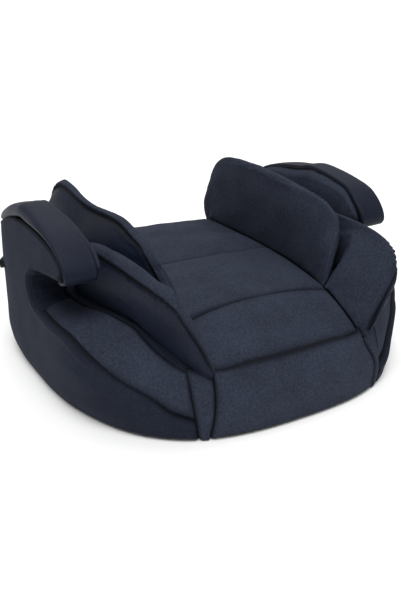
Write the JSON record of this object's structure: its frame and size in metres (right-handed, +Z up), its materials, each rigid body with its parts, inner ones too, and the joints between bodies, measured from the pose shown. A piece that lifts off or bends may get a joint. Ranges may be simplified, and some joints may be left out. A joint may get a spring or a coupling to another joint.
{
  "type": "booster seat",
  "caption": "Backless car booster seat with a moulded tray, hooked armrests over belt slots, a panelled knit cover and padded side wings.",
  "frame": {"origin": "centre of the bounding box in plan, on the ground under the feet", "axes": "+Z up, the seat faces -Y, +X to the left of a seated child; left and right halves mirror in the plane x = 0"},
  "size_m": [0.444, 0.43, 0.215],
  "materials": {
    "black_polypropylene": "fine moulded texture",
    "foot_rubber": "matt",
    "zinc_plated_steel": "bright zinc",
    "seat_foam_grey": "open-cell polyurethane foam",
    "wing_board_foam": "closed-cell polyethylene foam board",
    "hem_elastic": "ribbed elastic tape",
    "charcoal_knit": "fine stretch knit",
    "navy_knit": "fine stretch knit",
    "satin_knit": "smooth satin-faced knit"
  },
  "bodies": {
    "seat": {"arm_core_left": "black_polypropylene", "arm_core_right": "black_polypropylene", "arm_inner_cover_left": "navy_knit", "arm_inner_cover_right": "navy_knit", "arm_screw_left_1": "zinc_plated_steel", "arm_screw_left_2": "zinc_plated_steel", "arm_screw_right_1": "zinc_plated_steel", "arm_screw_right_2": "zinc_plated_steel", "arm_top_strip_left": "satin_knit", "arm_top_strip_right": "satin_knit", "base_tray": "black_polypropylene", "corner_strip_left": "charcoal_knit", "corner_strip_right": "charcoal_knit", "cover_hem": "hem_elastic", "foot_front_left": "foot_rubber", "foot_front_right": "foot_rubber", "foot_rear_left": "foot_rubber", "foot_rear_right": "foot_rubber", "front_panel": "charcoal_knit", "rear_panel": "navy_knit", "seat_foam": "seat_foam_grey", "seat_panel_front": "charcoal_knit", "seat_panel_middle": "charcoal_knit", "seat_panel_rear": "charcoal_knit", "side_channel_left": "navy_knit", "side_channel_right": "navy_knit", "side_insert_left": "charcoal_knit", "side_insert_right": "charcoal_knit", "side_panel_left": "navy_knit", "side_panel_right": "navy_knit", "slot_lining_left": "navy_knit", "slot_lining_right": "navy_knit"},
    "rear_wing_left_pad": {"rear_wing_left": "charcoal_knit", "wing_board_left": "wing_board_foam"},
    "front_wing_left_pad": {"front_wing_left": "charcoal_knit"},
    "rear_wing_right_pad": {"rear_wing_right": "charcoal_knit", "wing_board_right": "wing_board_foam"},
    "front_wing_right_pad": {"front_wing_right": "charcoal_knit"}
  },
  "joints": [
    {"name": "rear_wing_right_flex", "type": "hinge", "parent": "seat", "child": "rear_wing_right_pad", "pos_m": [0.13373, 0.0545, 0.1215], "axis": [0.0829, 0.9966, 0], "range_deg": [-10, 3], "stiffness_Nm_per_rad": 1.2},
    {"name": "front_wing_right_flex", "type": "hinge", "parent": "seat", "child": "front_wing_right_pad", "pos_m": [0.12, -0.108, 0.1235], "axis": [0, 1, 0], "range_deg": [-5, 8], "stiffness_Nm_per_rad": 1.2},
    {"name": "rear_wing_left_flex", "type": "hinge", "parent": "seat", "child": "rear_wing_left_pad", "pos_m": [-0.13373, 0.0545, 0.1215], "axis": [0.0829, -0.9966, 0], "range_deg": [-10, 3], "stiffness_Nm_per_rad": 1.2},
    {"name": "front_wing_left_flex", "type": "hinge", "parent": "seat", "child": "front_wing_left_pad", "pos_m": [-0.12, -0.108, 0.1235], "axis": [0, -1, 0], "range_deg": [-5, 8], "stiffness_Nm_per_rad": 1.2}
  ]
}
